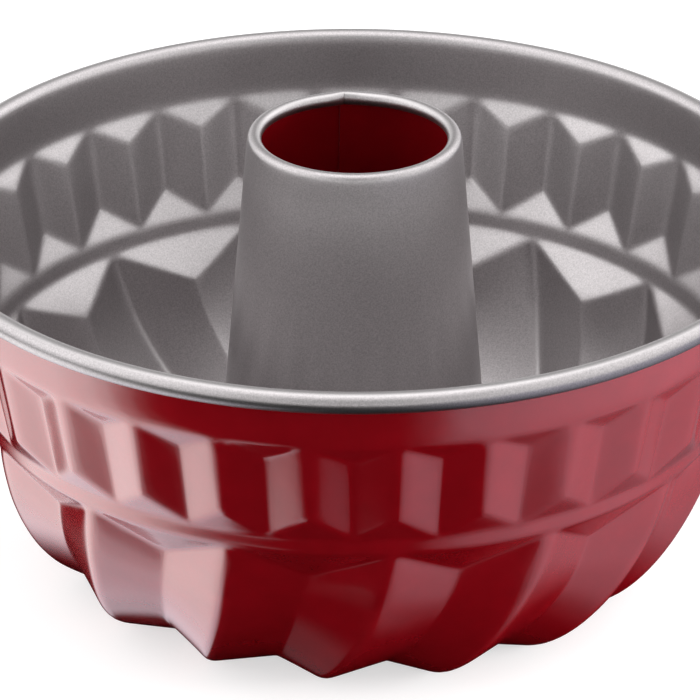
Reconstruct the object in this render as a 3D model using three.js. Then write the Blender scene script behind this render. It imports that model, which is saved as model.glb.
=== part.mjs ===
// A fluted ring cake pan: a drawn steel body with two rows of flutes and a rolled rim over a wire,
// and a rolled, tapered centre tube whose foot is hooked round a collar in the body's floor.
// Millimetres, +Z up. The table is z = 0, the tube's axis is x = y = 0 and the front faces -Y.
import * as THREE from 'three';

const { degToRad, lerp } = THREE.MathUtils;

// Overall sizes
const RIM_DIAMETER = 220; // across the rolled rim
const RIM_HEIGHT = 99.3; // table to the top of the rolled rim
const TUBE_HEIGHT = 117.4; // table to the top of the centre tube

// Sheet, rolled rim and rim wire
const PAN_SHEET = 0.6;
const TUBE_SHEET = 0.5;
const BEAD_DIAMETER = 5.3; // the rolled rim's own section
const BEAD_SLIT = 0.35; // between the end of the roll and the band below it
const WIRE_CLEARANCE = 0.3;

// Plain band under the rim, on the outside of the sheet
const BAND_HEIGHT = 13.2; // bead centre to the band's lower edge
const BAND_TAPER = 0.3; // how far the band draws in over its height

// Flutes. The upper row has two for each one of the lower row.
const LOWER_FLUTES = 15;
const CREST_WIDTH = 1.8; // flat along the top of every outward fold
const CREASE_WIDTH = 0.9; // flat along the bottom of every lower valley

// Upper row
const UPPER_HEIGHT = 28.9; // band edge to the row's lower ring
const UPPER_INSET = 8.9; // band edge to the lower ring, towards the axis
const UPPER_PEAK_DROP = 5.6; // band edge to the top of an inward fold
const UPPER_PEAK_INSET = 4.1;
const UPPER_TOE_RISE = 7.3; // lower ring to the foot of an outward fold
const UPPER_TOE_REACH = 4.5;

// Plain step between the rows
const STEP_HEIGHT = 4.4;
const STEP_INSET = 0.7;

// Lower row. Ridges and valleys curve under to the foot, and swirl as they go.
const VALLEY_DROP = 9.9; // step ring to the top of a valley
const VALLEY_INSET = 7.8;
const RIDGE_FOOT_RADIUS = 63.7; // where a ridge touches the table
const RIDGE_ROUNDNESS = 2; // 1 is a straight slope, 2 is a quarter of an ellipse
const RIDGE_SHOULDER = 1.32; // the same for the top of the slope
const VALLEY_FOOT_RADIUS = 57;
const VALLEY_FOOT_LIFT = 1.5;
const VALLEY_ROUNDNESS = 1.65;
const FOOT_PAD = 3; // length of the flat under each ridge
const SWIRL_STEADY = degToRad(5.6); // turn that builds up evenly on the way down
const SWIRL_LATE = degToRad(7.3); // turn that is added mostly near the foot
const SWIRL_POWER = 2.9;
const SWIRL_UNDER = degToRad(14); // further turn from the foot to the collar

// Centre tube
const TUBE_TOP_RADIUS = 26.6;
const TUBE_TAPER = degToRad(4.8); // half angle of the cone
const LIP_WIDTH = 3.5; // the lip is rolled into the bore
const LIP_END = degToRad(250); // how far round the roll goes
const SEAM_ANGLE = degToRad(187); // the lengthwise seam is at the back
const SEAM_WIDTH = 5;
const SEAM_STEP = 0.7; // the folded seam stands this far into the bore
const SEAM_MARGIN = 7; // the fold stops short of the lip and the foot

// Joint between tube and floor
const JOINT_HEIGHT = 9; // table to the top of the collar's bend, under the sheet
const JOINT_CLEARANCE = 0.3;
const COLLAR_BEND = 1;
const COLLAR_LENGTH = 3;
const HOOK_LENGTH = 2;

// Fineness of the facets
const BEAD_STEPS = 8;
const LOWER_STEPS = 6;
const UNDER_STEPS = 3;
const BEND_STEPS = 2;
const LIP_STEPS = 6;
const HOOK_STEPS = 4;
const TUBE_COLUMNS = 40;
const WIRE_SIDES = 8;

// Sizes that follow from those above
const beadRadius = BEAD_DIAMETER / 2;
const beadCircle = RIM_DIAMETER / 2 - beadRadius;
const beadHeight = RIM_HEIGHT - beadRadius;
const rollRadius = beadRadius - PAN_SHEET;
const bandEdge = {
  radius: beadCircle - rollRadius - BAND_TAPER,
  height: beadHeight - BAND_HEIGHT,
};
const upperRing = {
  radius: bandEdge.radius - UPPER_INSET,
  height: bandEdge.height - UPPER_HEIGHT,
};
const stepRing = {
  radius: upperRing.radius - STEP_INSET,
  height: upperRing.height - STEP_HEIGHT,
};
const valleyTop = {
  radius: stepRing.radius - VALLEY_INSET,
  height: stepRing.height - VALLEY_DROP,
};
const ridgeFoot = { radius: RIDGE_FOOT_RADIUS, height: 0 };
const valleyFoot = { radius: VALLEY_FOOT_RADIUS, height: VALLEY_FOOT_LIFT };

const lipRadius = LIP_WIDTH / 2;
const lipHeight = TUBE_HEIGHT - lipRadius;
const tubeRadius = (height) => TUBE_TOP_RADIUS + (lipHeight - height) * Math.tan(TUBE_TAPER);
const collarTop = JOINT_HEIGHT - COLLAR_BEND;
const collarEnd = collarTop - COLLAR_LENGTH;
const collarRadius = (height) => tubeRadius(height) + JOINT_CLEARANCE + PAN_SHEET;

const place = (radius, angle, height) =>
  new THREE.Vector3(radius * Math.sin(angle), -radius * Math.cos(angle), height);
const midpoint = (a, b) => a.clone().add(b).multiplyScalar(0.5);
const between = (a, b, share) => ({
  radius: lerp(a.radius, b.radius, share),
  height: lerp(a.height, b.height, share),
});
const atHeight = (a, b, height) => between(a, b, (height - a.height) / (b.height - a.height));
const onArc = (radius, height, bend, angle) => ({
  radius: radius + bend * Math.cos(angle),
  height: height + bend * Math.sin(angle),
});

// One lower flute is six columns: a side, both edges of its crest, a side, both edges of its valley.
// In the upper row the sides are inward folds, and crest and valley are both outward folds.
const PITCH = (2 * Math.PI) / LOWER_FLUTES;
const COLUMN_PLACE = [0, 0.25, 0.25, 0.5, 0.75, 0.75];
const COLUMN_EDGE = [0, -1, 1, 0, -1, 1];
const COLUMNS = COLUMN_PLACE.length;
const [SIDE_BEFORE, CREST_LEFT, CREST_RIGHT, SIDE_AFTER, VALLEY_LEFT, VALLEY_RIGHT] = COLUMN_PLACE.keys();
const isSide = (column) => COLUMN_EDGE[column] === 0;
const isCrest = (column) => column === CREST_LEFT || column === CREST_RIGHT;

// Which columns stand out, so that each facet is split along its own fold
const UPPER_FOLDS = [0, 1, 1, 0, 1, 1];
const LOWER_FOLDS = [1, 2, 2, 1, 0, 0];

// A ring of points round the axis. spot gives the radius, height and turn of each column.
function ring(spot, valleyWidth) {
  const points = [];
  for (let flute = 0; flute < LOWER_FLUTES; flute += 1) {
    for (let column = 0; column < COLUMNS; column += 1) {
      const { radius, height, turn = 0 } = spot(column);
      const width = isCrest(column) ? CREST_WIDTH : valleyWidth;
      const edge = (COLUMN_EDGE[column] * width) / (2 * radius);
      points.push(place(radius, (flute + COLUMN_PLACE[column]) * PITCH + edge + turn, height));
    }
  }
  return points;
}

const circle = (spot) => ring(() => spot, CREST_WIDTH);

// A ring of the lower row: the sides lie halfway along the flat facets between ridge and valley.
function fluteRing(ridge, valley) {
  const points = ring((column) => (isCrest(column) ? ridge : valley), CREASE_WIDTH);
  for (let start = 0; start < points.length; start += COLUMNS) {
    const before = points.at(start - 1);
    points[start + SIDE_BEFORE] = midpoint(before, points[start + CREST_LEFT]);
    points[start + SIDE_AFTER] = midpoint(points[start + CREST_RIGHT], points[start + VALLEY_LEFT]);
  }
  return points;
}

// Turn of the lower row at a height
function swirl(height) {
  const share = (stepRing.height - height) / stepRing.height;
  return -SWIRL_STEADY * share - SWIRL_LATE * share ** SWIRL_POWER;
}
const swirled = (spot) => ({ ...spot, turn: swirl(spot.height) });

// A rounded slope from a top point to a foot, by the angle of the rounding
function slope(top, foot, roundness, shoulder, angle) {
  return swirled({
    radius: lerp(foot.radius, top.radius, Math.max(Math.cos(angle), 0) ** (2 / roundness)),
    height: lerp(top.height, foot.height, Math.sin(angle) ** (2 / shoulder)),
  });
}
const ridgeAt = (angle) => slope(stepRing, ridgeFoot, RIDGE_ROUNDNESS, RIDGE_SHOULDER, angle);
const valleyAt = (angle) =>
  slope(valleyTop, valleyFoot, VALLEY_ROUNDNESS, VALLEY_ROUNDNESS, angle);
const ridgeAngle = (drop) => Math.asin((drop / stepRing.height) ** (RIDGE_SHOULDER / 2));

// The rolled rim, from its free end round to the band
function beadRows() {
  const end = Math.acos((rollRadius - BEAD_SLIT) / beadRadius) - Math.PI;
  const rows = [];
  for (let step = 0; step <= BEAD_STEPS; step += 1) {
    const angle = lerp(end, Math.PI, step / BEAD_STEPS);
    rows.push({ points: circle(onArc(beadCircle, beadHeight, rollRadius, angle)) });
  }
  return rows;
}

// The upper row, from the band's edge down to its lower ring
function upperRows() {
  const peak = {
    radius: bandEdge.radius - UPPER_PEAK_INSET,
    height: bandEdge.height - UPPER_PEAK_DROP,
  };
  const toe = {
    radius: upperRing.radius + UPPER_TOE_REACH,
    height: upperRing.height + UPPER_TOE_RISE,
  };
  const peakLevel = (column) => (isSide(column) ? peak : atHeight(bandEdge, toe, peak.height));
  const toeLevel = (column) => (isSide(column) ? atHeight(peak, upperRing, toe.height) : toe);
  return [
    { points: circle(bandEdge), folds: UPPER_FOLDS },
    { points: ring(peakLevel, CREST_WIDTH), folds: UPPER_FOLDS },
    { points: ring(toeLevel, CREST_WIDTH), folds: UPPER_FOLDS },
    { points: circle(upperRing) },
  ];
}

// The lower row, from the step's ring down to the foot
function lowerRows() {
  const stepPoints = circle(stepRing);
  const peakAngle = ridgeAngle(VALLEY_DROP);
  const valleyRow = fluteRing(ridgeAt(peakAngle), valleyAt(0));
  const halfRow = fluteRing(ridgeAt(ridgeAngle(VALLEY_DROP / 2)), valleyAt(0));
  const count = halfRow.length;
  for (let start = 0; start < count; start += COLUMNS) {
    const before = (start + count - 1) % count;
    const left = start + VALLEY_LEFT;
    const right = start + VALLEY_RIGHT;
    halfRow[start + SIDE_BEFORE] = midpoint(stepPoints[start + CREST_LEFT], valleyRow[before]);
    halfRow[start + SIDE_AFTER] = midpoint(stepPoints[start + CREST_RIGHT], valleyRow[left]);
    halfRow[left] = midpoint(stepPoints[left], valleyRow[left]);
    halfRow[right] = midpoint(stepPoints[right], valleyRow[right]);
  }
  const rows = [stepPoints, halfRow, valleyRow];
  for (let step = 1; step <= LOWER_STEPS; step += 1) {
    const share = step / LOWER_STEPS;
    const quarter = Math.PI / 2;
    rows.push(fluteRing(ridgeAt(lerp(peakAngle, quarter, share)), valleyAt(quarter * share)));
  }
  return rows.map((points) => ({ points, folds: LOWER_FOLDS }));
}

// The underside, from the pads under the ridges up to the collar's bend
function underRows() {
  const pad = { radius: RIDGE_FOOT_RADIUS - FOOT_PAD, height: 0 };
  const bendTop = { radius: collarRadius(collarTop) + COLLAR_BEND, height: JOINT_HEIGHT };
  const rise = (from, share) => ({
    radius: lerp(from.radius, bendTop.radius, share),
    height: lerp(bendTop.height, from.height, Math.cos((share * Math.PI) / 2)),
    turn: swirl(from.height) - SWIRL_UNDER * share,
  });
  const rows = [];
  for (let step = 0; step <= UNDER_STEPS; step += 1) {
    const share = step / UNDER_STEPS;
    const valleyShare = lerp(1 / (UNDER_STEPS + 1), 1, share);
    rows.push({ points: fluteRing(rise(pad, share), rise(valleyFoot, valleyShare)), folds: LOWER_FOLDS });
  }
  return rows;
}

// The collar that is turned down round the tube
function collarRows() {
  const turn = swirl(0) - SWIRL_UNDER;
  const bendRadius = collarRadius(collarTop) + COLLAR_BEND;
  const rows = [];
  for (let step = 1; step <= BEND_STEPS; step += 1) {
    const angle = (Math.PI / 2) * (1 + step / BEND_STEPS);
    rows.push({ points: circle({ ...onArc(bendRadius, collarTop, COLLAR_BEND, angle), turn }) });
  }
  rows.push({ points: circle({ radius: collarRadius(collarEnd), height: collarEnd, turn }) });
  return rows;
}

// The tube's columns: the two edges of the seam with their steps, and the rest evenly spaced
function tubeColumns() {
  const half = SEAM_WIDTH / 2 / tubeRadius(TUBE_HEIGHT / 2);
  const step = SEAM_STEP / tubeRadius(TUBE_HEIGHT / 2);
  const columns = [
    { angle: SEAM_ANGLE - half, seam: true },
    { angle: SEAM_ANGLE + half, seam: true },
  ];
  const first = SEAM_ANGLE + half + step;
  const last = SEAM_ANGLE - half - step + 2 * Math.PI;
  for (let column = 0; column <= TUBE_COLUMNS; column += 1) {
    columns.push({ angle: lerp(first, last, column / TUBE_COLUMNS), seam: false });
  }
  return columns;
}

// The tube's sheet on the cake side, from the end of the lip down to the end of the hook
function tubeRows(columns) {
  const spots = [];
  for (let step = 0; step <= LIP_STEPS; step += 1) {
    const angle = lerp(LIP_END, 0, step / LIP_STEPS);
    spots.push(onArc(TUBE_TOP_RADIUS - lipRadius, lipHeight, lipRadius, angle));
  }
  for (const height of [lipHeight - SEAM_MARGIN, collarEnd + SEAM_MARGIN]) {
    spots.push({ radius: tubeRadius(height), height, seam: true });
  }
  const hookRadius = JOINT_CLEARANCE + PAN_SHEET / 2;
  const hookCircle = tubeRadius(collarEnd) + hookRadius;
  for (let step = 0; step <= HOOK_STEPS; step += 1) {
    const angle = Math.PI * (1 + step / HOOK_STEPS);
    spots.push(onArc(hookCircle, collarEnd, hookRadius, angle));
  }
  spots.push({ radius: hookCircle + hookRadius, height: collarEnd + HOOK_LENGTH });
  return spots.map(({ radius, height, seam = false }) => ({
    points: columns.map(({ angle }) => place(radius, angle, height)),
    thickness: columns.map((column) => TUBE_SHEET + (seam && column.seam ? SEAM_STEP : 0)),
  }));
}

// A closed sheet: the rows are its outer face, and the inner face is set back along the normals.
function sheetSolid(rows, sheet) {
  const count = rows[0].points.length;
  const flat = new Array(COLUMNS).fill(0);
  const outer = new THREE.BufferGeometry().setFromPoints(rows.flatMap((row) => row.points));
  const outerFaces = [];
  for (let row = 0; row + 1 < rows.length; row += 1) {
    const { folds = flat } = rows[row];
    for (let column = 0; column < count; column += 1) {
      const next = (column + 1) % count;
      const [a, b] = [row * count + column, row * count + next];
      const [c, d] = [a + count, b + count];
      const fallsForward = folds[column % COLUMNS] > folds[next % COLUMNS];
      outerFaces.push(...(fallsForward ? [a, c, d, a, d, b] : [a, c, b, b, c, d]));
    }
  }
  outer.setIndex(outerFaces);
  outer.computeVertexNormals();

  const { position, normal } = outer.attributes;
  const points = rows.flatMap((row) => row.points);
  const thickness = rows.flatMap((row) => row.thickness ?? new Array(count).fill(sheet));
  const innerPoints = points.map((point, index) =>
    new THREE.Vector3().fromBufferAttribute(normal, index).multiplyScalar(-thickness[index]).add(point));
  const faces = [...outerFaces];
  const offset = position.count;
  for (let index = 0; index < outerFaces.length; index += 3) {
    const [a, b, c] = outerFaces.slice(index, index + 3);
    faces.push(offset + a, offset + c, offset + b);
  }
  const lastRow = offset - count;
  for (let column = 0; column < count; column += 1) {
    const next = (column + 1) % count;
    const [a, b] = [column, next];
    const [c, d] = [lastRow + column, lastRow + next];
    faces.push(a, b, offset + b, a, offset + b, offset + a);
    faces.push(c, offset + d, d, c, offset + c, offset + d);
  }
  const solid = new THREE.BufferGeometry().setFromPoints([...points, ...innerPoints]);
  solid.setIndex(faces);
  solid.computeVertexNormals();
  return solid;
}

function named(name, geometry, color, roughness, metalness) {
  const mesh = new THREE.Mesh(geometry, new THREE.MeshStandardMaterial({ color, roughness, metalness }));
  mesh.name = name;
  return mesh;
}

function panBody() {
  const rows = [...beadRows(), ...upperRows(), ...lowerRows(), ...underRows(), ...collarRows()];
  return named('pan_body', sheetSolid(rows, PAN_SHEET), 0x8f0d1b, 0.22, 0.3);
}

function centreTube() {
  return named('centre_tube', sheetSolid(tubeRows(tubeColumns()), TUBE_SHEET), 0x8b8587, 0.42, 0.6);
}

function rimWire() {
  const radius = rollRadius - WIRE_CLEARANCE;
  const geometry = new THREE.TorusGeometry(beadCircle, radius, WIRE_SIDES, LOWER_FLUTES * COLUMNS);
  const wire = named('rim_wire', geometry, 0x9a9ca0, 0.45, 1);
  wire.position.z = beadHeight;
  return wire;
}

const pan = new THREE.Group();
pan.name = 'ring_cake_pan';
pan.add(panBody(), centreTube(), rimWire());

export default pan;
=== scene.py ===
import math
from collections import namedtuple

import bmesh
import bpy
from mathutils import Matrix, Vector


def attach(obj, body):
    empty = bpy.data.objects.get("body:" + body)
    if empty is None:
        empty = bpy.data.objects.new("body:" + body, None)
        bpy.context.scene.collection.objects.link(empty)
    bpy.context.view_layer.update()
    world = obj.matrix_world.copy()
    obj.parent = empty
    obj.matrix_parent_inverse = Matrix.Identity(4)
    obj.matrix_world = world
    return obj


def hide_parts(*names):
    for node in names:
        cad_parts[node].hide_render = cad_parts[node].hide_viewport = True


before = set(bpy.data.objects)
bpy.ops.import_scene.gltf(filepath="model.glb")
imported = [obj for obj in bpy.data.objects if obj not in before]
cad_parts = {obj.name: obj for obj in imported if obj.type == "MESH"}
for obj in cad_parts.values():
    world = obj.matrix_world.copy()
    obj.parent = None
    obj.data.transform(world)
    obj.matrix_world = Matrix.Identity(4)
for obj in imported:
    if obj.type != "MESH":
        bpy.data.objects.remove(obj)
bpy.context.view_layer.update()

# A place on a sheet: distance from the pan's axis, height above the table, and turn to the right
Spot = namedtuple("Spot", "radius height turn", defaults=[0.0])

# The row and the column that a point of a sheet is marked with
Mark = namedtuple("Mark", "row column")

# Sheet and rolled rim, in metres. The lacquered side of the sheet is drawn, and the grey side follows.
PAN_SHEET = 0.0006
BEAD_RADIUS = 0.00265
BEAD_CIRCLE = 0.10728
BEAD_HEIGHT = 0.09665
BEAD_SLIT = 0.00035
BEAD_STEPS = 8

# Upper row of flutes
BAND_EDGE = Spot(0.1050, 0.08345)
PEAK = Spot(0.1009, 0.07785)
TOE = Spot(0.1006, 0.06185)
UPPER_RING = Spot(0.0961, 0.05455)

# Lower row of flutes
STEP_RING = Spot(0.0954, 0.05015)
VALLEY_TOP = Spot(0.0876, 0.04025)
RIDGE_FOOT = Spot(0.0637, 0.0)
RIDGE_ROUNDNESS = 2
RIDGE_SHOULDER = 1.32
VALLEY_FOOT = Spot(0.0570, 0.0015)
VALLEY_ROUNDNESS = 1.65
FOOT_PAD = 0.003
SWIRL_STEADY = math.radians(5.6)
SWIRL_LATE = math.radians(7.3)
SWIRL_POWER = 2.9
SWIRL_UNDER = math.radians(14)
LOWER_STEPS = 7
UNDER_STEPS = 3

# Rounding of the folds: the widest one, and each kind's share of it. Under the pan the ridges run
# together, so their share falls step by step from the foot inwards.
FOLD_WIDTH = 0.0014
FOLD_SEGMENTS = 3
CREST_SHARE = 1.0
UNDER_SHARES = (0.8, 0.6, 0.35)
CREASE_SHARE = 0.35
FACET_SHARE = 0.65
RING_SHARE = 0.65

# The press leaves the crests rounder than the creases, most of all at their top ends.
PRESS_ROUNDS = 20
PRESS_STRENGTH = 0.5
PRESS_ON_WALLS = 0.3
PRESS_ON_CREST_TOPS = 1.0

# How far a fold is drawn proud because the rounding takes it down, and how late a ridge loses this
UPPER_CREST_PROUD = 0.0002
RIDGE_PROUD = 0.0004
FOOT_PROUD = 0.0001
PROUD_POWER = 3
LEAN_STEP = 0.01

# How finely the sheets are smoothed, and the angle from which an edge stays sharp
SMOOTH_LEVELS = 2
SMOOTH_QUALITY = 4
SHARP_ANGLE = math.radians(50)

# Centre tube and its joint with the floor
TUBE_SHEET = 0.0005
TUBE_TOP_RADIUS = 0.0266
TUBE_TAPER = math.radians(4.8)
TUBE_HEIGHTS = (0.1135, 0.111, 0.095, 0.075, 0.055, 0.035, 0.015, 0.0085)
LIP_RADIUS = 0.00175
LIP_HEIGHT = 0.11562
LIP_END = math.radians(250)
LIP_STEPS = 9
JOINT_HEIGHT = 0.009
JOINT_CLEARANCE = 0.0003
COLLAR_BEND = 0.001
COLLAR_BEND_ANGLES = (120, 150, 180)
COLLAR_TOP = JOINT_HEIGHT - COLLAR_BEND
COLLAR_END = 0.005
HOOK_LENGTH = 0.002
HOOK_STEPS = 6

# Seam of the tube: its sheet is rolled a little past a full turn, and the inner edge laps behind the outer
# one. SEAM_GROUPS columns next to each edge take places of their own.
SEAM_ANGLE = math.radians(188.2)
SEAM_LAP = math.radians(10.8)
SEAM_GROUPS = 4
TUBE_COLUMNS = 72
TUBE_STEP = (2 * math.pi + SEAM_LAP) / (TUBE_COLUMNS - 1)
LAP_CLEARANCE = 0.00006
LAP_SHIFT = TUBE_SHEET + LAP_CLEARANCE
LAP_EASE = 0.1

# On the lip and the hook the two edges meet instead. By column from the edge: the turn towards the other
# edge in degrees, and how full the roll of the lip still is.
OUTER_MEETING = (8.8, 6.1, 3.8, 1.9)
INNER_MEETING = (-2.1, -1.3, -0.65, -0.25)
OUTER_NARROWING = (0.66, 0.78, 0.89, 0.96)
INNER_NARROWING = (0.7, 0.8, 0.9, 0.97)

# One lower flute is four columns of points: a side, its ridge, a side, its valley.
# In the upper row the sides are inward folds, and ridge and valley are both outward folds.
FLUTES = 15
FLUTE_COLUMNS = 4
COLUMNS = FLUTES * FLUTE_COLUMNS
COLUMN_ANGLE = 2 * math.pi / COLUMNS
SIDE_BEFORE, RIDGE, SIDE_AFTER, VALLEY = range(FLUTE_COLUMNS)


def lerp(a, b, share):
    return a + (b - a) * share


def between(a, b, share):
    return Spot(*(lerp(x, y, share) for x, y in zip(a, b)))


def at_height(a, b, height):
    return between(a, b, (height - a.height) / (b.height - a.height))


def on_arc(radius, height, bend, angle, turn=0.0):
    return Spot(radius + bend * math.cos(angle), height + bend * math.sin(angle), turn)


def fullness(step):
    """How far points on a circle stand out, so that the smoothed curve has the true radius."""
    return 3 / (2 + math.cos(step))


def proud(spot, amount):
    return spot._replace(radius=spot.radius + amount)


def tube_radius(height):
    return TUBE_TOP_RADIUS + (LIP_HEIGHT - height) * math.tan(TUBE_TAPER)


def collar_radius(height):
    return tube_radius(height) + JOINT_CLEARANCE + PAN_SHEET


# Drawing a sheet: a ring of points, drawn out row by row


def start_sheet(name, columns, spot):
    """A ring of points for the free edge of a sheet, each marked with its row and its column."""
    bpy.ops.object.select_all(action="DESELECT")
    bpy.ops.mesh.primitive_circle_add(vertices=columns, radius=spot.radius)
    sheet = bpy.context.object
    sheet.name = name
    sheet.data.name = name
    bpy.ops.object.mode_set(mode="EDIT")
    bpy.context.tool_settings.mesh_select_mode = (True, False, False)
    points = bmesh.from_edit_mesh(sheet.data)
    column = points.verts.layers.int.new("column")
    points.verts.layers.int.new("row")
    # This mark tells the finishes where to turn lighter: partly wear, partly a painted highlight.
    points.verts.layers.float.new("wear_and_highlight")
    for point in points.verts:
        angle = math.atan2(point.co.x, -point.co.y)
        point[column] = round(angle * columns / (2 * math.pi)) % columns
    bmesh.update_edit_mesh(sheet.data)
    bpy.ops.mesh.select_all(action="SELECT")
    bpy.ops.transform.translate(value=(0, 0, spot.height))
    return sheet


def pick_points(sheet, wanted):
    """Selects the points for which wanted(row, column) is true, and the edges between them."""
    bpy.context.tool_settings.mesh_select_mode = (True, False, False)
    bpy.ops.mesh.select_all(action="DESELECT")
    points = bmesh.from_edit_mesh(sheet.data)
    row = points.verts.layers.int["row"]
    column = points.verts.layers.int["column"]
    for point in points.verts:
        if wanted(point[row], point[column]):
            point.select_set(True)
    points.select_flush(True)
    bmesh.update_edit_mesh(sheet.data)


def pick_edges(sheet, wanted):
    """Selects the edges for which wanted(a, b) is true. The ends' marks come in order, by row first."""
    bpy.context.tool_settings.mesh_select_mode = (False, True, False)
    bpy.ops.mesh.select_all(action="DESELECT")
    points = bmesh.from_edit_mesh(sheet.data)
    row = points.verts.layers.int["row"]
    column = points.verts.layers.int["column"]
    for edge in points.edges:
        ends = sorted(Mark(point[row], point[column]) for point in edge.verts)
        if wanted(*ends):
            edge.select_set(True)
    bmesh.update_edit_mesh(sheet.data)


def mark_wear_and_highlight(sheet, wanted):
    """Marks the points where the finishes turn lighter: edges that rub in use, with a painted highlight along
    them.
    """
    points = bmesh.from_edit_mesh(sheet.data)
    row = points.verts.layers.int["row"]
    column = points.verts.layers.int["column"]
    wear_and_highlight = points.verts.layers.float["wear_and_highlight"]
    for point in points.verts:
        point[wear_and_highlight] = float(wanted(point[row], point[column]))
    bmesh.update_edit_mesh(sheet.data)


def carry(before, after):
    """Moves the selected points from one spot to the next."""
    scale = after.radius / before.radius
    bpy.ops.transform.resize(value=(scale, scale, 1), center_override=(0, 0, 0))
    bpy.ops.transform.rotate(value=before.turn - after.turn, orient_axis="Z", center_override=(0, 0, 0))
    bpy.ops.transform.translate(value=(0, 0, after.height - before.height))


def draw_row(sheet, number, before, after, group_of):
    """Draws the sheet's free edge out into its next row. Each group of columns takes its own spot."""
    pick_points(sheet, lambda row, column: row == number - 1)
    bpy.ops.mesh.extrude_edges_move()
    points = bmesh.from_edit_mesh(sheet.data)
    mark = points.verts.layers.int["row"]
    for point in points.verts:
        if point.select:
            point[mark] = number
    bmesh.update_edit_mesh(sheet.data)
    if len(before) == len(after) == 1:
        carry(before[0], after[0])
        return
    for group in range(max(len(before), len(after))):
        pick_points(sheet, lambda row, column: row == number and group_of(column) == group)
        carry(before[min(group, len(before) - 1)], after[min(group, len(after) - 1)])


def face_outwards(sheet, row_above):
    """Turns the sheet so that its drawn side faces away from the axis below the given row."""
    bpy.ops.mesh.select_all(action="SELECT")
    bpy.ops.mesh.normals_make_consistent(inside=False)
    points = bmesh.from_edit_mesh(sheet.data)
    mark = points.verts.layers.int["row"]
    wall = next(f for f in points.faces if {v[mark] for v in f.verts} == {row_above, row_above + 1})
    middle = wall.calc_center_median()
    if wall.normal.x * middle.x + wall.normal.y * middle.y < 0:
        bpy.ops.mesh.flip_normals()


def finish_with(piece, name, kind, **settings):
    modifier = piece.modifiers.new(name, kind)
    for key, value in settings.items():
        setattr(modifier, key, value)
    bpy.ops.object.modifier_apply(modifier=name)


def smooth_sheet(sheet, thickness, drawn_finish, other_finish, cut_edge_slot):
    """Smooths a drawn sheet and gives it its thickness and its two finishes."""
    bpy.ops.object.mode_set(mode="OBJECT")
    sheet.data.materials.append(drawn_finish)
    sheet.data.materials.append(other_finish)
    finish_with(
        sheet, "smooth", "SUBSURF", levels=SMOOTH_LEVELS, render_levels=SMOOTH_LEVELS, quality=SMOOTH_QUALITY,
    )
    finish_with(
        sheet, "folds", "BEVEL", limit_method="WEIGHT", offset_type="OFFSET", width=FOLD_WIDTH,
        segments=FOLD_SEGMENTS, use_clamp_overlap=False, loop_slide=True,
    )
    if sheet.vertex_groups:
        finish_with(
            sheet, "press", "SMOOTH", factor=PRESS_STRENGTH, iterations=PRESS_ROUNDS, vertex_group="pressed",
        )
    finish_with(
        sheet, "thickness", "SOLIDIFY", thickness=thickness, offset=-1,
        use_quality_normals=True, material_offset=1, material_offset_rim=cut_edge_slot,
    )
    bpy.ops.object.shade_smooth_by_angle(angle=SHARP_ANGLE)


# Profile of the pan. A row of spots has one spot for all columns, or one for each column of a flute.


def swirl(height):
    share = (STEP_RING.height - height) / STEP_RING.height
    return -SWIRL_STEADY * share - SWIRL_LATE * max(share, 0) ** SWIRL_POWER


def slope(top, foot, roundness, shoulder, angle):
    """A rounded slope from a top spot to a foot."""
    radius = lerp(foot.radius, top.radius, max(math.cos(angle), 0) ** (2 / roundness))
    height = lerp(top.height, foot.height, math.sin(angle) ** (2 / shoulder))
    return Spot(radius, height, swirl(height))


def ridge_at(angle):
    """The ridge's line, a little proud of its finished crest because the fold is rounded later."""
    spot, ahead, behind = (
        slope(STEP_RING, RIDGE_FOOT, RIDGE_ROUNDNESS, RIDGE_SHOULDER, max(angle + step, 0))
        for step in (0, LEAN_STEP, -LEAN_STEP)
    )
    lean = math.atan2(behind.radius - ahead.radius, behind.height - ahead.height)
    drop = STEP_RING.height - spot.height
    amount = lerp(RIDGE_PROUD, FOOT_PROUD, (drop / STEP_RING.height) ** PROUD_POWER)
    amount *= min(1, drop / (STEP_RING.height - VALLEY_TOP.height))
    return Spot(
        spot.radius + amount * math.cos(lean),
        spot.height - amount * math.sin(lean),
        spot.turn,
    )


def ridge_angle(drop):
    return math.asin((drop / STEP_RING.height) ** (RIDGE_SHOULDER / 2))


def valley_at(angle):
    return slope(VALLEY_TOP, VALLEY_FOOT, VALLEY_ROUNDNESS, VALLEY_ROUNDNESS, angle)


def halfway(a, a_column, b, b_column, column):
    """The spot halfway along the straight line between two folds, for the column between them."""
    turn_a = a.turn + (a_column - column) * COLUMN_ANGLE
    turn_b = b.turn + (b_column - column) * COLUMN_ANGLE
    across = (a.radius * math.sin(turn_a) + b.radius * math.sin(turn_b)) / 2
    out = (a.radius * math.cos(turn_a) + b.radius * math.cos(turn_b)) / 2
    return Spot(math.hypot(across, out), (a.height + b.height) / 2, math.atan2(across, out))


def flute_row(ridge, valley):
    return [
        halfway(valley, VALLEY - FLUTE_COLUMNS, ridge, RIDGE, SIDE_BEFORE),
        ridge,
        halfway(ridge, RIDGE, valley, VALLEY, SIDE_AFTER),
        valley,
    ]


def bead_rows():
    end = math.acos((BEAD_RADIUS - PAN_SHEET - BEAD_SLIT) / BEAD_RADIUS) - math.pi
    bend = (BEAD_RADIUS - PAN_SHEET) * fullness((math.pi - end) / BEAD_STEPS)
    circle = BEAD_CIRCLE * fullness(COLUMN_ANGLE)
    angles = [lerp(end, math.pi, step / BEAD_STEPS) for step in range(BEAD_STEPS + 1)]
    return [[on_arc(circle, BEAD_HEIGHT, bend, angle)] for angle in angles]


def upper_rows():
    peak_crest = proud(at_height(BAND_EDGE, TOE, PEAK.height), UPPER_CREST_PROUD)
    toe_side = at_height(PEAK, UPPER_RING, TOE.height)
    toe_crest = proud(TOE, UPPER_CREST_PROUD)
    return [[BAND_EDGE], [PEAK, peak_crest] * 2, [toe_side, toe_crest] * 2, [UPPER_RING]]


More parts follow.
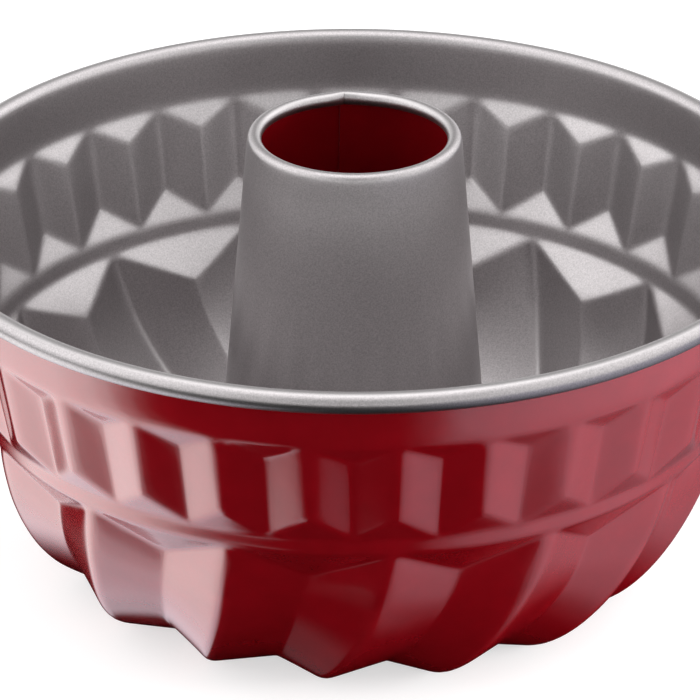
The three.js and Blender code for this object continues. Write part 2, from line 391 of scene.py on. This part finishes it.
def lower_rows():
    drop = STEP_RING.height - VALLEY_TOP.height
    top_angle = ridge_angle(drop)
    valley_row = flute_row(ridge_at(top_angle), valley_at(0))
    half_row = [
        halfway(valley_row[VALLEY], VALLEY - FLUTE_COLUMNS, STEP_RING, RIDGE, SIDE_BEFORE),
        ridge_at(ridge_angle(drop / 2)),
        halfway(STEP_RING, RIDGE, valley_row[VALLEY], VALLEY, SIDE_AFTER),
        between(STEP_RING, valley_row[VALLEY], 0.5),
    ]
    rows = [[STEP_RING], half_row, valley_row]
    for step in range(1, LOWER_STEPS + 1):
        share = step / LOWER_STEPS
        ridge = ridge_at(lerp(top_angle, math.pi / 2, share))
        rows.append(flute_row(ridge, valley_at(share * math.pi / 2)))
    return rows


def under_rows():
    pad = Spot(RIDGE_FOOT.radius - FOOT_PAD, -FOOT_PROUD)
    bend_top = Spot(collar_radius(COLLAR_TOP) + COLLAR_BEND, JOINT_HEIGHT)

    def rise(start, turn, share):
        radius = lerp(start.radius, bend_top.radius, share)
        height = lerp(bend_top.height, start.height, math.cos(share * math.pi / 2))
        return Spot(radius, height, turn - SWIRL_UNDER * share)

    rows = []
    for step in range(UNDER_STEPS):
        share = step / UNDER_STEPS
        valley_share = lerp(1 / (UNDER_STEPS + 1), 1, share)
        valley = rise(VALLEY_FOOT, swirl(VALLEY_FOOT.height), valley_share)
        rows.append(flute_row(rise(pad, swirl(0), share), valley))
    rows.append([bend_top._replace(turn=swirl(0) - SWIRL_UNDER)])
    return rows


def collar_rows():
    turn = swirl(0) - SWIRL_UNDER
    circle = collar_radius(COLLAR_TOP) + COLLAR_BEND
    rows = [
        [on_arc(circle, COLLAR_TOP, COLLAR_BEND, math.radians(angle), turn)]
        for angle in COLLAR_BEND_ANGLES
    ]
    rows.append([Spot(collar_radius(COLLAR_END), COLLAR_END, turn)])
    return rows


# Drawn body of the pan

# Numbers of the rows at which its folds start and end
PanRows = namedtuple("PanRows", "band_edge peak toe upper_ring step_ring half valley_top foot joint")


def step_corners(at):
    """The ends of the folds between the step and the tops of the valleys, as (row, column of the flute)."""
    return {
        (at.step_ring, RIDGE), (at.half, SIDE_BEFORE), (at.half, SIDE_AFTER), (at.valley_top, VALLEY),
    }


def split_facets(pan, at):
    """Splits facets along their folds: under the band, over the step and at the tops of the valleys."""
    corners = step_corners(at)
    folds = (
        lambda row, column: row == at.band_edge and column % 2 or row == at.peak and not column % 2,
        lambda row, column: row == at.toe and column % 2 or row == at.upper_ring and not column % 2,
        lambda row, column: (row, column % FLUTE_COLUMNS) in corners,
    )
    for is_corner in folds:
        pick_points(pan, is_corner)
        bpy.ops.mesh.vert_connect()


def mark_folds(pan, at):
    """Marks every fold with its share of the rounding."""
    corners = step_corners(at)

    def is_crest(a, b):
        upper_crest = at.band_edge <= a.row and b.row <= at.toe
        lower_crest = a.column % FLUTE_COLUMNS == RIDGE and at.step_ring <= a.row and b.row < at.joint
        return a.column == b.column and a.column % 2 and (upper_crest or lower_crest)

    def is_crease(a, b):
        upper_fold = not a.column % 2 and at.peak <= a.row and b.row <= at.upper_ring
        valley = a.column % FLUTE_COLUMNS == VALLEY and at.valley_top <= a.row and b.row < at.joint
        return a.column == b.column and (upper_fold or valley)

    def is_facet_edge(a, b):
        facet_rows = (a.row, b.row) in ((at.band_edge, at.peak), (at.toe, at.upper_ring))
        upper_facet = facet_rows and a.column % 2 and not b.column % 2
        step_facet = {(end.row, end.column % FLUTE_COLUMNS) for end in (a, b)} <= corners
        return a.column != b.column and (upper_facet or step_facet)

    def is_ring(a, b):
        return a.row == b.row and a.row in (at.band_edge, at.upper_ring, at.step_ring)

    folds = (
        (is_crest, CREST_SHARE),
        (is_crease, CREASE_SHARE),
        (is_facet_edge, FACET_SHARE),
        (is_ring, RING_SHARE),
    )
    for is_fold, share in folds:
        pick_edges(pan, is_fold)
        bpy.ops.transform.edge_crease(value=1)
        bpy.ops.transform.edge_bevelweight(value=share)
    for step, share in enumerate(UNDER_SHARES):
        pick_edges(pan, lambda a, b: is_crest(a, b) and a.row == at.foot + step)
        bpy.ops.transform.edge_bevelweight(value=share - CREST_SHARE)


def mark_pressed(pan, at):
    """Marks how strongly the press rounds the walls and the top ends of the crests."""

    def is_wall(row, column):
        return at.band_edge <= row < at.foot

    def is_crest_top(row, column):
        upper = row == at.band_edge or column % 2 and row == at.peak
        return upper or column % FLUTE_COLUMNS == RIDGE and at.step_ring <= row <= at.valley_top

    pan.vertex_groups.new(name="pressed")
    for is_soft, share in ((is_wall, PRESS_ON_WALLS), (is_crest_top, PRESS_ON_CREST_TOPS)):
        pick_points(pan, is_soft)
        bpy.context.tool_settings.vertex_group_weight = share
        bpy.ops.object.vertex_group_assign()


def make_pan(lacquer, nonstick):
    """The drawn body, from the free end of its rolled rim to the end of its collar."""
    bead, upper, lower, under = bead_rows(), upper_rows(), lower_rows(), under_rows()
    rows = bead + upper + lower + under + collar_rows()
    band_edge = len(bead)
    step_ring = band_edge + len(upper)
    foot = step_ring + len(lower) - 1
    at = PanRows(*range(band_edge, step_ring + 3), foot, foot + len(under))

    pan = start_sheet("pan_shell", COLUMNS, rows[0][0])
    for number in range(1, len(rows)):
        draw_row(pan, number, rows[number - 1], rows[number], lambda column: column % FLUTE_COLUMNS)
    split_facets(pan, at)
    mark_folds(pan, at)

    # The rim's top and the lower ridges' crests are marked to turn lighter: partly wear, partly a painted
    # highlight.
    def wears_and_shines(row, column):
        rim_top = row in (BEAD_STEPS - 3, BEAD_STEPS - 2)
        return rim_top or column % FLUTE_COLUMNS == RIDGE and at.valley_top < row <= at.foot + 1

    mark_wear_and_highlight(pan, wears_and_shines)
    mark_pressed(pan, at)
    face_outwards(pan, at.band_edge - 1)
    smooth_sheet(pan, PAN_SHEET, lacquer, nonstick, 1)
    return pan


# Centre tube. Its sheet is drawn on the cake side, from the end of its lip down to the end of its hook.


def seam_group(column):
    """The columns next to each edge of the rolled sheet have groups of their own, and the rest share one."""
    from_inner_edge = TUBE_COLUMNS - 1 - column
    if column < SEAM_GROUPS:
        return column
    if from_inner_edge < SEAM_GROUPS:
        return SEAM_GROUPS + 1 + from_inner_edge
    return SEAM_GROUPS


def met_row(spot_for):
    """A row whose two edges are trimmed to meet. spot_for takes how full the lip is at that column."""
    outer = [spot_for(f)._replace(turn=math.radians(a)) for f, a in zip(OUTER_NARROWING, OUTER_MEETING)]
    inner = [spot_for(f)._replace(turn=math.radians(a)) for f, a in zip(INNER_NARROWING, INNER_MEETING)]
    return outer + [spot_for(1)] + inner


def lapped_row(height):
    """A row whose inner edge laps behind the outer one."""
    wall = Spot(tube_radius(height) * fullness(TUBE_STEP), height)
    lapped = proud(wall, -LAP_SHIFT)
    eased = proud(wall, -LAP_EASE * LAP_SHIFT)
    return [wall] * (SEAM_GROUPS + 1) + [lapped] * (SEAM_GROUPS - 1) + [eased]


def lip_rows():
    bend = LIP_RADIUS * fullness(LIP_END / LIP_STEPS)

    def on_lip(angle):
        def spot_for(full):
            reach = bend * full
            radius = TUBE_TOP_RADIUS - reach + reach * math.cos(angle)
            return Spot(radius, LIP_HEIGHT + bend * math.sin(angle))
        return spot_for

    return [met_row(on_lip(lerp(LIP_END, 0, step / LIP_STEPS))) for step in range(LIP_STEPS + 1)]


def hook_rows():
    bend = (JOINT_CLEARANCE + PAN_SHEET / 2) * fullness(math.pi / HOOK_STEPS)
    circle = tube_radius(COLLAR_END) + JOINT_CLEARANCE + PAN_SHEET / 2
    rows = []
    for step in range(HOOK_STEPS + 1):
        spot = on_arc(circle, COLLAR_END, bend, math.pi * (1 + step / HOOK_STEPS))
        rows.append(met_row(lambda full: spot))
    arm = Spot(circle + bend, COLLAR_END + HOOK_LENGTH)
    rows.append(met_row(lambda full: arm))
    return rows


def make_tube(lacquer, nonstick):
    lip = lip_rows()
    rows = lip + [lapped_row(height) for height in TUBE_HEIGHTS] + hook_rows()
    main = rows[0][SEAM_GROUPS]
    tube = start_sheet("tube_shell", TUBE_COLUMNS, main)
    pick_edges(tube, lambda a, b: {a.column, b.column} == {0, TUBE_COLUMNS - 1})
    bpy.ops.mesh.delete(type="EDGE")
    first = SEAM_ANGLE - SEAM_LAP
    for column in range(TUBE_COLUMNS):
        turn = first + column * TUBE_STEP - column * 2 * math.pi / TUBE_COLUMNS
        spot = rows[0][seam_group(column)]
        pick_points(tube, lambda row, at: at == column)
        carry(main, spot._replace(turn=turn + spot.turn))
    for number in range(1, len(rows)):
        draw_row(tube, number, rows[number - 1], rows[number], seam_group)
    # The lip's top is marked to turn lighter: partly wear, partly a painted highlight.
    lip_top = (LIP_STEPS // 2, LIP_STEPS // 2 + 1)
    mark_wear_and_highlight(tube, lambda row, column: row in lip_top)
    face_outwards(tube, len(lip))
    smooth_sheet(tube, TUBE_SHEET, nonstick, lacquer, 0)
    return tube


# Finishes

# Sockets of a mix node, for colours and for plain numbers
COLOUR_A, COLOUR_B, COLOUR_OUT = 6, 7, 2
NUMBER_A, NUMBER_B, NUMBER_OUT = 2, 3, 0

# The middle of a noise, which a finish spreads over its full range
NOISE_LOW = 0.3
NOISE_HIGH = 0.7

# How close to a marked edge the coat starts to thin and turn lighter, from 0 away from it to 1 on it; the
# lighter colour is partly wear and partly a painted highlight
WEAR_AND_HIGHLIGHT_FROM = 0.7


def link(tree, source, output, target, socket):
    tree.links.new(source.outputs[output], target.inputs[socket])


def set_sockets(node, values):
    for socket, value in values.items():
        node.inputs[socket].default_value = value


def new_finish(name):
    """A material with its shader and the object's own coordinates."""
    finish = bpy.data.materials.new(name)
    finish.use_nodes = True
    tree = finish.node_tree
    shader = tree.nodes["Principled BSDF"]
    place = tree.nodes.new("ShaderNodeTexCoord")
    return finish, tree, shader, place


def grain(tree, place, scale, detail, roughness=0.5):
    noise = tree.nodes.new("ShaderNodeTexNoise")
    set_sockets(noise, {"Scale": scale, "Detail": detail, "Roughness": roughness})
    link(tree, place, "Object", noise, "Vector")
    return noise


def tint(tree, noise, dark, light):
    ramp = tree.nodes.new("ShaderNodeValToRGB")
    stops = ((NOISE_LOW, dark), (NOISE_HIGH, light))
    for element, (position, colour) in zip(ramp.color_ramp.elements, stops):
        element.position = position
        element.color = (*colour, 1)
    link(tree, noise, "Fac", ramp, "Fac")
    return ramp


def spread(tree, noise, low, high):
    ranged = tree.nodes.new("ShaderNodeMapRange")
    set_sockets(ranged, {"From Min": NOISE_LOW, "From Max": NOISE_HIGH, "To Min": low, "To Max": high})
    link(tree, noise, "Fac", ranged, "Value")
    return ranged


def combine(tree, a, a_output, b, b_output, operation="ADD"):
    total = tree.nodes.new("ShaderNodeMath")
    total.operation = operation
    link(tree, a, a_output, total, 0)
    link(tree, b, b_output, total, 1)
    return total


def colour_mix(tree, share, output):
    mix = tree.nodes.new("ShaderNodeMix")
    mix.data_type = "RGBA"
    link(tree, share, output, mix, 0)
    return mix


def worn_and_highlit(tree, noise, colour, rough, worn_and_highlit_colour, worn_rough):
    """Thins a coat along the marked edges, and not evenly, in a lighter colour that is partly wear and partly
    a painted highlight. Returns its colour and its roughness.
    """
    mark = tree.nodes.new("ShaderNodeAttribute")
    mark.attribute_name = "wear_and_highlight"
    near = tree.nodes.new("ShaderNodeMapRange")
    near.inputs["From Min"].default_value = WEAR_AND_HIGHLIGHT_FROM
    link(tree, mark, "Fac", near, "Value")
    share = combine(tree, near, "Result", noise, "Fac", "MULTIPLY")
    thin_and_lit = colour_mix(tree, share, 0)
    link(tree, colour, "Color", thin_and_lit, COLOUR_A)
    thin_and_lit.inputs[COLOUR_B].default_value = (*worn_and_highlit_colour, 1)
    dull = tree.nodes.new("ShaderNodeMix")
    link(tree, share, 0, dull, 0)
    link(tree, rough, "Result", dull, NUMBER_A)
    dull.inputs[NUMBER_B].default_value = worn_rough
    return thin_and_lit, dull


def relief(tree, noise, strength, depth):
    bump = tree.nodes.new("ShaderNodeBump")
    set_sockets(bump, {"Strength": strength, "Distance": depth})
    link(tree, noise, "Fac", bump, "Height")
    return bump


def red_lacquer():
    """Red metallic under-layer with a clear coat, a faint orange peel, and duller along rubbed ridges, where
    a lighter red is partly wear and partly a painted highlight.
    """
    finish, tree, shader, place = new_finish("red_lacquer")
    pigment = grain(tree, place, scale=160, detail=4)
    peel = grain(tree, place, scale=420, detail=2)
    haze = grain(tree, place, scale=1400, detail=3)
    colour = tint(tree, pigment, dark=(0.262, 0.0018, 0.006), light=(0.294, 0.0023, 0.0074))
    rough = spread(tree, haze, low=0.42, high=0.52)
    # Lighter red along the marked ridges: partly wear, partly a painted highlight.
    colour, rough = worn_and_highlit(tree, pigment, colour, rough, worn_and_highlit_colour=(0.36, 0.007, 0.013), worn_rough=0.58)
    link(tree, colour, COLOUR_OUT, shader, "Base Color")
    link(tree, rough, NUMBER_OUT, shader, "Roughness")
    skin = relief(tree, peel, strength=0.05, depth=0.0002)
    link(tree, skin, "Normal", shader, "Normal")
    link(tree, skin, "Normal", shader, "Coat Normal")
    set_sockets(shader, {"Metallic": 0.4, "Specular IOR Level": 0})
    set_sockets(shader, {"Coat Weight": 1, "Coat Roughness": 0.1, "Coat IOR": 2.4})
    return finish


def grey_nonstick():
    """Warm grey satin coat with a fine sparkle, brighter and shinier along rubbed edges, where the lighter
    grey is partly wear and partly a painted highlight.
    """
    finish, tree, shader, place = new_finish("grey_nonstick")
    fine = grain(tree, place, scale=2600, detail=2, roughness=0.6)
    cloud = grain(tree, place, scale=70, detail=3)
    colour = tint(tree, fine, dark=(0.37, 0.35, 0.354), light=(0.53, 0.50, 0.507))
    rough = spread(tree, cloud, low=0.36, high=0.40)
    # Lighter along the marked edges: partly wear, partly a painted highlight.
    colour, rough = worn_and_highlit(tree, cloud, colour, rough, worn_and_highlit_colour=(0.56, 0.54, 0.54), worn_rough=0.32)
    link(tree, colour, COLOUR_OUT, shader, "Base Color")
    link(tree, rough, NUMBER_OUT, shader, "Roughness")
    link(tree, relief(tree, fine, strength=0.12, depth=0.00008), "Normal", shader, "Normal")
    shader.inputs["Metallic"].default_value = 1
    return finish


def wire_steel():
    finish, tree, shader, place = new_finish("wire_steel")
    drawn = grain(tree, place, scale=900, detail=4)
    colour = tint(tree, drawn, dark=(0.42, 0.42, 0.43), light=(0.58, 0.58, 0.60))
    link(tree, colour, "Color", shader, "Base Color")
    link(tree, spread(tree, drawn, low=0.32, high=0.45), "Result", shader, "Roughness")
    link(tree, relief(tree, drawn, strength=0.1, depth=0.00005), "Normal", shader, "Normal")
    shader.inputs["Metallic"].default_value = 1
    return finish


red = red_lacquer()
grey = grey_nonstick()

pan = make_pan(red, grey)
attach(pan, "root")
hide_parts("pan_body")

tube = make_tube(red, grey)
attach(tube, "root")
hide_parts("centre_tube")

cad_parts["rim_wire"].data.materials[0] = wire_steel()


# Studio. The eye sees the floor, and the lacquer and the coat mirror two cards below it instead.

# Camera, in metres, with its lens and its sensor in millimetres
CAMERA_PLACE = (0, -1.2937, 0.6948)
CAMERA_DOWN = math.radians(26.2266)
CAMERA_TURN = math.radians(0.042)
CAMERA_ROLL = math.radians(0.19)
CAMERA_LENS = 295.1
CAMERA_SENSOR = 36
CAMERA_REACH = 100

# Floor: its side in metres, its grey, and the glow that makes it white to the eye
FLOOR_SIDE = 40
FLOOR_GREY = (0.5, 0.5, 0.5, 1)
FLOOR_GLOW = 0.6

# Side lights, which don't show in reflections: distance to the side, to the back and up, aim, size and glow
SIDE_DISTANCE = 0.8
SIDE_BACK = -0.1
SIDE_UP = 0.15
SIDE_AIM = (0, 0, 0.05)
SIDE_WIDTH = 0.5
SIDE_HEIGHT = 0.3
LEFT_GLOW = 5
RIGHT_GLOW = 20

# Brightness of the light dome: at its best, by the sine of the height for its plain share and its belt,
# and the belt's share by turn (0 and 1 are in front, a quarter is on the left)
DOME = 2.35
DOME_PLAIN = ((0.0, 0.6), (0.1, 0.5), (0.25, 0.1), (0.76, 0.1), (0.9, 0.5), (1.0, 0.85))
DOME_BELT = ((0.0, 0), (0.15, 0.2), (0.35, 0.9), (0.6, 0.85), (0.8, 0.65), (0.95, 0.3), (1.0, 0.2))
DOME_AROUND = (
    (0.0, 0.1), (0.08, 0.4), (0.14, 0.7), (0.25, 0.9), (0.36, 0.75), (0.44, 0.25), (0.5, 0.1), (0.56, 0.35),
    (0.63, 1), (0.72, 0.8), (0.8, 0.64), (0.92, 0.4), (1.0, 0.1),
)

# Low card: its side and height, and its brightness at its best, by the distance to each side and to the back,
# along a slant to the front, and on the right by turn about a spot in front of the middle
GLOW_CARD_SIDE = 12
GLOW_CARD_HEIGHT = -0.5
GLOW = 2.1
GLOW_LEFT = (
    (-2.2, 0.15), (-1.45, 1), (-0.67, 1), (-0.58, 0.94), (-0.46, 0.82), (-0.38, 0.74), (-0.26, 0.6),
    (-0.19, 0.45), (-0.145, 0),
)
GLOW_RIGHT = ((0.16, 0), (0.25, 0.06), (0.37, 0.13), (0.55, 0.19), (1.2, 0.26))
GLOW_BACK = ((0.34, 1), (0.66, 0))
GLOW_SLANT = (-0.22, 1, 0)
GLOW_FRONT = (
    (-0.47, 0), (-0.39, 0.05), (-0.32, 0.19), (-0.25, 0.33), (-0.17, 0.6), (-0.05, 0.82), (0.2, 1),
)
GLOW_SHIFT = (0, 0.1, 0)
GLOW_AROUND = (
    (0.0, 0.64), (0.55, 0.64), (0.64, 0.68), (0.72, 1), (0.85, 1), (0.91, 0.95), (0.94, 0.25), (0.965, 0),
    (1.0, 0),
)

# How much cooler the low card is towards its right
GLOW_HUE = ((-0.6, 0), (-0.2, 0.6), (0.2, 1))
GLOW_COOL = (1, 1, 1.17, 1)

# Shade card: its side and height, and how dark it is under the pan (by the distance from the axis, and
# towards the back or the right), in front of the pan (across on a slant, and to the back) and under the bore
SHADE_CARD_SIDE = 0.24
SHADE_CARD_HEIGHT = -0.002
SHADE_AWAY = ((0.076, 1), (0.1, 0))
SHADE_BACK = ((-0.045, 0), (-0.015, 1))
SHADE_RIGHT = ((0.012, 0), (0.03, 1))
SHADE_SLANT = (1, -0.44, 0)
SHADE_ACROSS = ((-0.012, 0), (0.004, 1), (0.04, 1), (0.06, 0))
SHADE_FRONT = ((-0.13, 0), (-0.108, 1), (-0.094, 1), (-0.08, 0.92))
SHADE_BORE = ((0.045, 1), (0.055, 0))


def set_camera():
    camera = bpy.data.objects.new("camera", bpy.data.cameras.new("camera"))
    bpy.context.collection.objects.link(camera)
    camera.data.sensor_width = CAMERA_SENSOR
    camera.data.lens = CAMERA_LENS
    camera.data.clip_end = CAMERA_REACH
    turn = Matrix.Rotation(CAMERA_TURN, 4, "Z")
    tilt = Matrix.Rotation(math.pi / 2 - CAMERA_DOWN, 4, "X")
    roll = Matrix.Rotation(CAMERA_ROLL, 4, "Z")
    camera.matrix_world = Matrix.Translation(CAMERA_PLACE) @ turn @ tilt @ roll
    bpy.context.scene.camera = camera


def side_light(name, side, glow):
    """A rectangular soft light. side is -1 or 1, and glow is how bright its face looks, where 1 is white."""
    lamp = bpy.data.lights.new(name, "AREA")
    lamp.shape = "RECTANGLE"
    lamp.size = SIDE_WIDTH
    lamp.size_y = SIDE_HEIGHT
    lamp.energy = glow * math.pi * SIDE_WIDTH * SIDE_HEIGHT
    light = bpy.data.objects.new(name, lamp)
    bpy.context.collection.objects.link(light)
    place = Vector((side * SIDE_DISTANCE, SIDE_BACK, SIDE_UP))
    towards = (Vector(SIDE_AIM) - place).to_track_quat("-Z", "Y").to_matrix().to_4x4()
    light.matrix_world = Matrix.Translation(place) @ towards
    light.visible_camera = False
    light.visible_glossy = False


def stage_plane(name, side, height, finish):
    bpy.ops.object.select_all(action="DESELECT")
    bpy.ops.mesh.primitive_plane_add(size=side)
    plane = bpy.context.object
    plane.name = name
    bpy.ops.object.mode_set(mode="EDIT")
    bpy.ops.mesh.select_all(action="SELECT")
    bpy.ops.transform.translate(value=(0, 0, height))
    bpy.ops.object.mode_set(mode="OBJECT")
    plane.data.materials.append(finish)
    return plane


def pale_floor():
    """A floor that is white to the eye and keeps the shadow of the pan."""
    finish, tree, shader, _ = new_finish("pale_floor")
    set_sockets(shader, {"Base Color": FLOOR_GREY, "Roughness": 1, "Specular IOR Level": 0})
    shader.inputs["Emission Color"].default_value = (1, 1, 1, 1)
    rays = tree.nodes.new("ShaderNodeLightPath")
    seen = combine(tree, rays, "Is Camera Ray", rays, "Is Glossy Ray")
    seen = combine(tree, seen, 0, rays, "Is Transmission Ray")
    glow = tree.nodes.new("ShaderNodeMapRange")
    glow.inputs["To Max"].default_value = FLOOR_GLOW
    link(tree, seen, 0, glow, "Value")
    link(tree, glow, "Result", shader, "Emission Strength")
    return finish


def split_place(tree, source, output):
    split = tree.nodes.new("ShaderNodeSeparateXYZ")
    link(tree, source, output, split, "Vector")
    return split


def vector_math(tree, place, operation, vector=None):
    node = tree.nodes.new("ShaderNodeVectorMath")
    node.operation = operation
    link(tree, place, "Object", node, 0)
    if vector:
        node.inputs[1].default_value = vector
    return node


def curve(tree, stops):
    """A smooth curve through (place, brightness) stops, from place 0 to place 1."""
    ramp = tree.nodes.new("ShaderNodeValToRGB")
    ramp.color_ramp.interpolation = "EASE"
    elements = ramp.color_ramp.elements
    elements[0].position, elements[1].position = stops[0][0], stops[-1][0]
    for place, _ in stops[1:-1]:
        elements.new(place)
    for element, (_, bright) in zip(elements, stops):
        element.color = (bright, bright, bright, 1)
    return ramp


def along(tree, source, output, stops):
    """A smooth curve through (distance, brightness) stops."""
    first, last = stops[0][0], stops[-1][0]
    share = tree.nodes.new("ShaderNodeMapRange")
    set_sockets(share, {"From Min": first, "From Max": last})
    link(tree, source, output, share, "Value")
    shape = curve(tree, [((at - first) / (last - first), bright) for at, bright in stops])
    link(tree, share, "Result", shape, "Fac")
    return shape


def around_axis(tree, split, stops):
    """A smooth curve by turn: 0 is in front, a quarter is on the left, and 1 is in front again."""
    angle = combine(tree, split, "X", split, "Y", "ARCTAN2")
    turn = tree.nodes.new("ShaderNodeMapRange")
    set_sockets(turn, {"From Min": -math.pi, "From Max": math.pi})
    link(tree, angle, 0, turn, "Value")
    shape = curve(tree, stops)
    link(tree, turn, "Result", shape, "Fac")
    return shape


def low_glow():
    """Light from below the table: most on the left, some on the right, none under the pan or in front."""
    finish, tree, shader, place = new_finish("low_glow")
    set_sockets(shader, {"Base Color": (0, 0, 0, 1), "Specular IOR Level": 0})
    split = split_place(tree, place, "Object")
    shifted = split_place(tree, vector_math(tree, place, "ADD", GLOW_SHIFT), "Vector")
    front = along(tree, vector_math(tree, place, "DOT_PRODUCT", GLOW_SLANT), "Value", GLOW_FRONT)
    left = along(tree, split, "X", GLOW_LEFT)
    for edge in (along(tree, split, "Y", GLOW_BACK), front):
        left = combine(tree, left, 0, edge, "Color", "MULTIPLY")
    around = around_axis(tree, shifted, GLOW_AROUND)
    right = combine(tree, along(tree, split, "X", GLOW_RIGHT), "Color", around, "Color", "MULTIPLY")
    strength = tree.nodes.new("ShaderNodeMapRange")
    strength.inputs["To Max"].default_value = GLOW
    link(tree, combine(tree, left, 0, right, 0), 0, strength, "Value")
    link(tree, strength, "Result", shader, "Emission Strength")
    hue = colour_mix(tree, along(tree, split, "X", GLOW_HUE), "Color")
    set_sockets(hue, {COLOUR_A: (1, 1, 1, 1), COLOUR_B: GLOW_COOL})
    link(tree, hue, COLOUR_OUT, shader, "Emission Color")
    return finish


def dark_shade():
    """A painted shadow: a black card, seen only in reflections, where the pan's soft shadow on the table
    would be.
    """
    finish, tree, shader, place = new_finish("dark_shade")
    set_sockets(shader, {"Base Color": (0, 0, 0, 1), "Specular IOR Level": 0})
    split = split_place(tree, place, "Object")
    away = vector_math(tree, place, "LENGTH")
    slant = vector_math(tree, place, "DOT_PRODUCT", SHADE_SLANT)
    back, right = along(tree, split, "Y", SHADE_BACK), along(tree, split, "X", SHADE_RIGHT)
    under = combine(tree, back, "Color", right, "Color", "MAXIMUM")
    under = combine(tree, along(tree, away, "Value", SHADE_AWAY), "Color", under, 0, "MULTIPLY")
    across, front = along(tree, slant, "Value", SHADE_ACROSS), along(tree, split, "Y", SHADE_FRONT)
    front = combine(tree, across, "Color", front, "Color", "MULTIPLY")
    both = combine(tree, under, 0, front, 0)
    dark = tree.nodes.new("ShaderNodeMapRange")
    link(tree, combine(tree, both, 0, along(tree, away, "Value", SHADE_BORE), "Color"), 0, dark, "Value")
    link(tree, dark, "Result", shader, "Alpha")
    return finish


def light_dome(tree):
    """Soft light from all round: a pale horizon, a wide belt that is brightest at the sides, a bright top."""
    split = split_place(tree, tree.nodes.new("ShaderNodeTexCoord"), "Generated")
    plain, belt = curve(tree, DOME_PLAIN), curve(tree, DOME_BELT)
    for shape in (plain, belt):
        link(tree, split, "Z", shape, "Fac")
    around = around_axis(tree, split, DOME_AROUND)
    shaped = combine(tree, belt, "Color", around, "Color", "MULTIPLY")
    strength = tree.nodes.new("ShaderNodeMapRange")
    strength.clamp = False
    strength.inputs["To Max"].default_value = DOME
    link(tree, combine(tree, plain, "Color", shaped, 0), 0, strength, "Value")
    link(tree, strength, "Result", tree.nodes["Background"], "Strength")
    tree.nodes["Background"].inputs["Color"].default_value = (1, 1, 1, 1)


set_camera()
floor = stage_plane("floor", FLOOR_SIDE, 0, pale_floor())
floor.visible_glossy = False
glow_card = stage_plane("glow_card", GLOW_CARD_SIDE, GLOW_CARD_HEIGHT, low_glow())
shade_card = stage_plane("shade_card", SHADE_CARD_SIDE, SHADE_CARD_HEIGHT, dark_shade())
for card in (glow_card, shade_card):
    for rays in ("camera", "diffuse", "transmission", "volume_scatter", "shadow"):
        setattr(card, "visible_" + rays, False)
side_light("left_light", -1, LEFT_GLOW)
side_light("right_light", 1, RIGHT_GLOW)

world = bpy.data.worlds.new("studio")
world.use_nodes = True
light_dome(world.node_tree)
bpy.context.scene.world = world
bpy.context.scene.view_settings.view_transform = "Standard"
